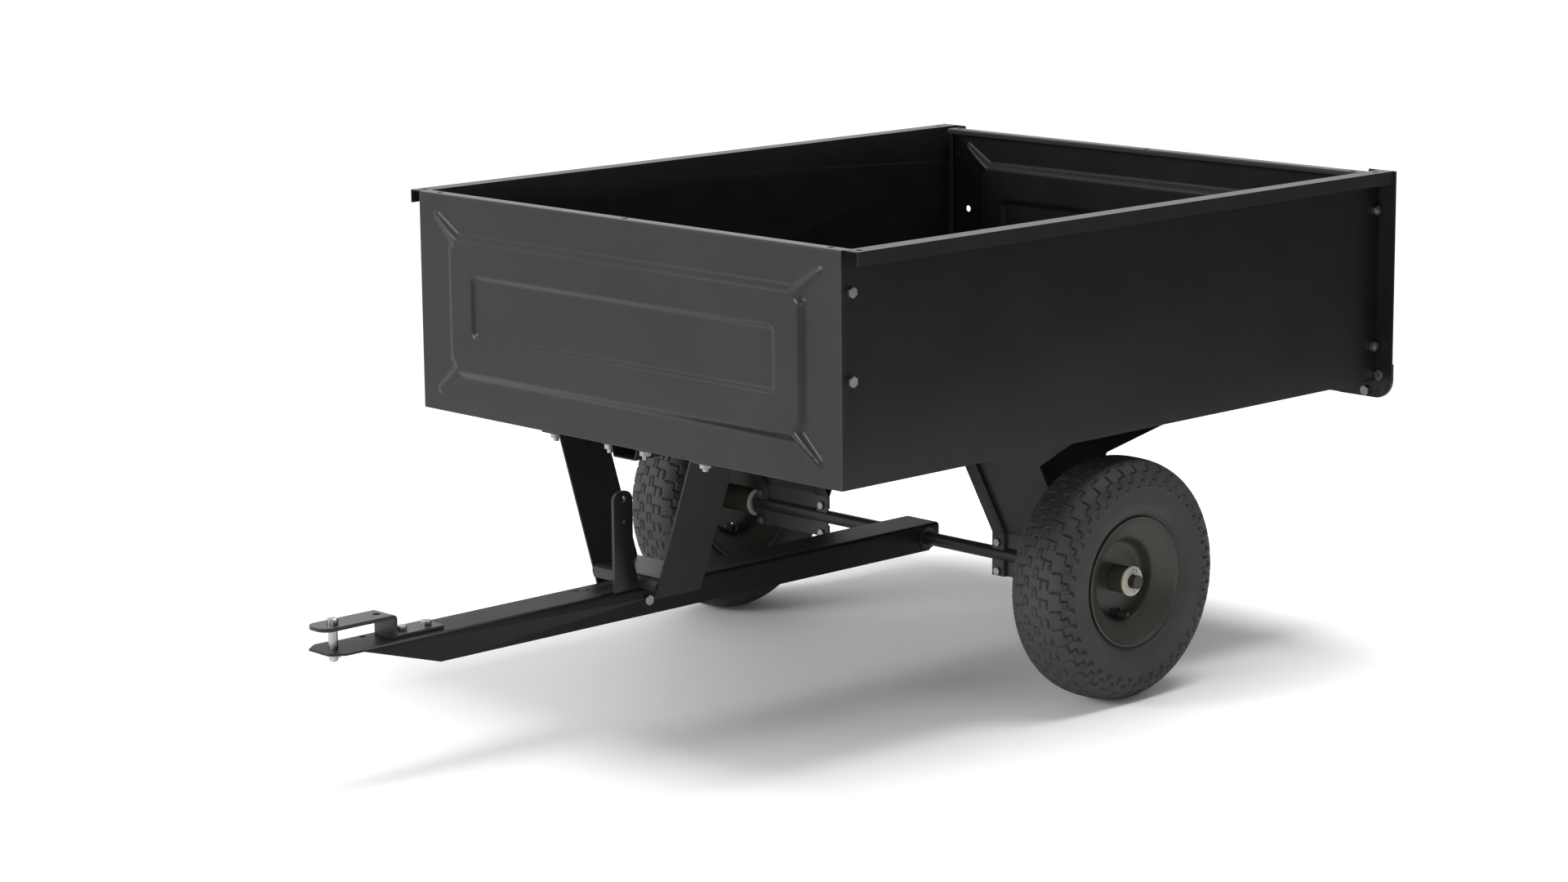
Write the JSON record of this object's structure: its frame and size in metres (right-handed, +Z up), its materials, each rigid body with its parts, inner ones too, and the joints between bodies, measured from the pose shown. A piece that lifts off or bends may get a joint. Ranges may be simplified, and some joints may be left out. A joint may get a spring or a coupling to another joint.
{
  "type": "tow behind cart",
  "caption": "Sheet-metal dump cart with channel drawbar, pinned hitch strap, sprung release lever, lift-out tailgate and pneumatic wheels on a through axle.",
  "frame": {"origin": "on the ground, under the middle of the cart's overall box, with the drawbar level and both wheels on the ground", "axes": "+Y from the hitch to the tailgate, +X to the right-hand wheel, +Z up"},
  "size_m": [0.894, 1.603, 0.679],
  "materials": {
    "powder_coat": "satin black powder coat with fine orange peel",
    "rim_paint": "satin dark grey-olive paint",
    "zinc": "bright zinc plate",
    "pin_steel": "bright turned steel",
    "spring_steel": "drawn wire",
    "nylon": "off-white moulded bushing",
    "tyre_rubber": "matte black rubber",
    "valve_rubber": "matte black rubber"
  },
  "bodies": {
    "drawbar": {"drawbar": "powder_coat", "hitch_strap": "powder_coat", "hitch_bolts": "zinc", "hitch_nuts": "zinc", "drawbar_bushes": "nylon", "latch_pivot_bolt": "zinc", "latch_pivot_nut": "zinc", "latch_spring": "spring_steel"},
    "latch": {"latch_lever": "powder_coat"},
    "hitch_pin": {"hitch_pin": "pin_steel"},
    "hairpin": {"hairpin_clip": "spring_steel"},
    "bed": {"bed_floor": "powder_coat", "floor_stiffener": "powder_coat", "front_panel": "powder_coat", "left_side_panel": "powder_coat", "right_side_panel": "powder_coat", "left_gate_channel": "powder_coat", "right_gate_channel": "powder_coat", "left_rear_upright": "powder_coat", "right_rear_upright": "powder_coat", "rear_crossbar": "powder_coat", "left_strut": "powder_coat", "right_strut": "powder_coat", "saddle": "powder_coat", "left_front_bracket": "powder_coat", "left_rear_bracket": "powder_coat", "right_front_bracket": "powder_coat", "right_rear_bracket": "powder_coat", "axle": "powder_coat", "axle_washers": "zinc", "split_pins": "zinc", "floor_bolts": "zinc", "floor_nuts": "zinc", "corner_bolts": "zinc", "corner_nuts": "zinc", "channel_screws": "zinc", "channel_nuts": "zinc", "rear_frame_bolts": "zinc", "rear_frame_nuts": "zinc", "bracket_bolts": "zinc", "bracket_nuts": "zinc"},
    "tailgate": {"tailgate": "powder_coat"},
    "left_wheel": {"left_tyre": "tyre_rubber", "left_rim_outer": "rim_paint", "left_rim_inner": "rim_paint", "left_hub": "rim_paint", "left_wheel_bushes": "nylon", "left_valve": "valve_rubber"},
    "right_wheel": {"right_tyre": "tyre_rubber", "right_rim_outer": "rim_paint", "right_rim_inner": "rim_paint", "right_hub": "rim_paint", "right_wheel_bushes": "nylon", "right_valve": "valve_rubber"}
  },
  "joints": [
    {"name": "bed_dump", "type": "hinge", "parent": "drawbar", "child": "bed", "pos_m": [0, 0.2595, 0.167], "axis": [-1, 0, 0], "range_deg": [0, 34]},
    {"name": "latch_pull", "type": "hinge", "parent": "drawbar", "child": "latch", "pos_m": [0.025, -0.276, 0.169], "axis": [1, 0, 0], "range_deg": [0, 25], "stiffness_Nm_per_rad": 0.6, "springref_deg": -22.92, "deforming": ["latch_spring"]},
    {"name": "hitch_pin_lift", "type": "slide", "parent": "drawbar", "child": "hitch_pin", "axis": [0, 0, 1], "range_m": [0, 0.0035]},
    {"name": "hairpin_pull", "type": "slide", "parent": "hitch_pin", "child": "hairpin", "axis": [-1, 0, 0], "range_m": [0, 0.03]},
    {"name": "tailgate_lift", "type": "slide", "parent": "bed", "child": "tailgate", "axis": [0, 0, 1], "range_m": [0, 0.3]},
    {"name": "left_wheel_spin", "type": "hinge", "parent": "bed", "child": "left_wheel", "pos_m": [-0.386, 0.2595, 0.167], "axis": [-1, 0, 0], "continuous": true},
    {"name": "right_wheel_spin", "type": "hinge", "parent": "bed", "child": "right_wheel", "pos_m": [0.386, 0.2595, 0.167], "axis": [-1, 0, 0], "continuous": true}
  ]
}
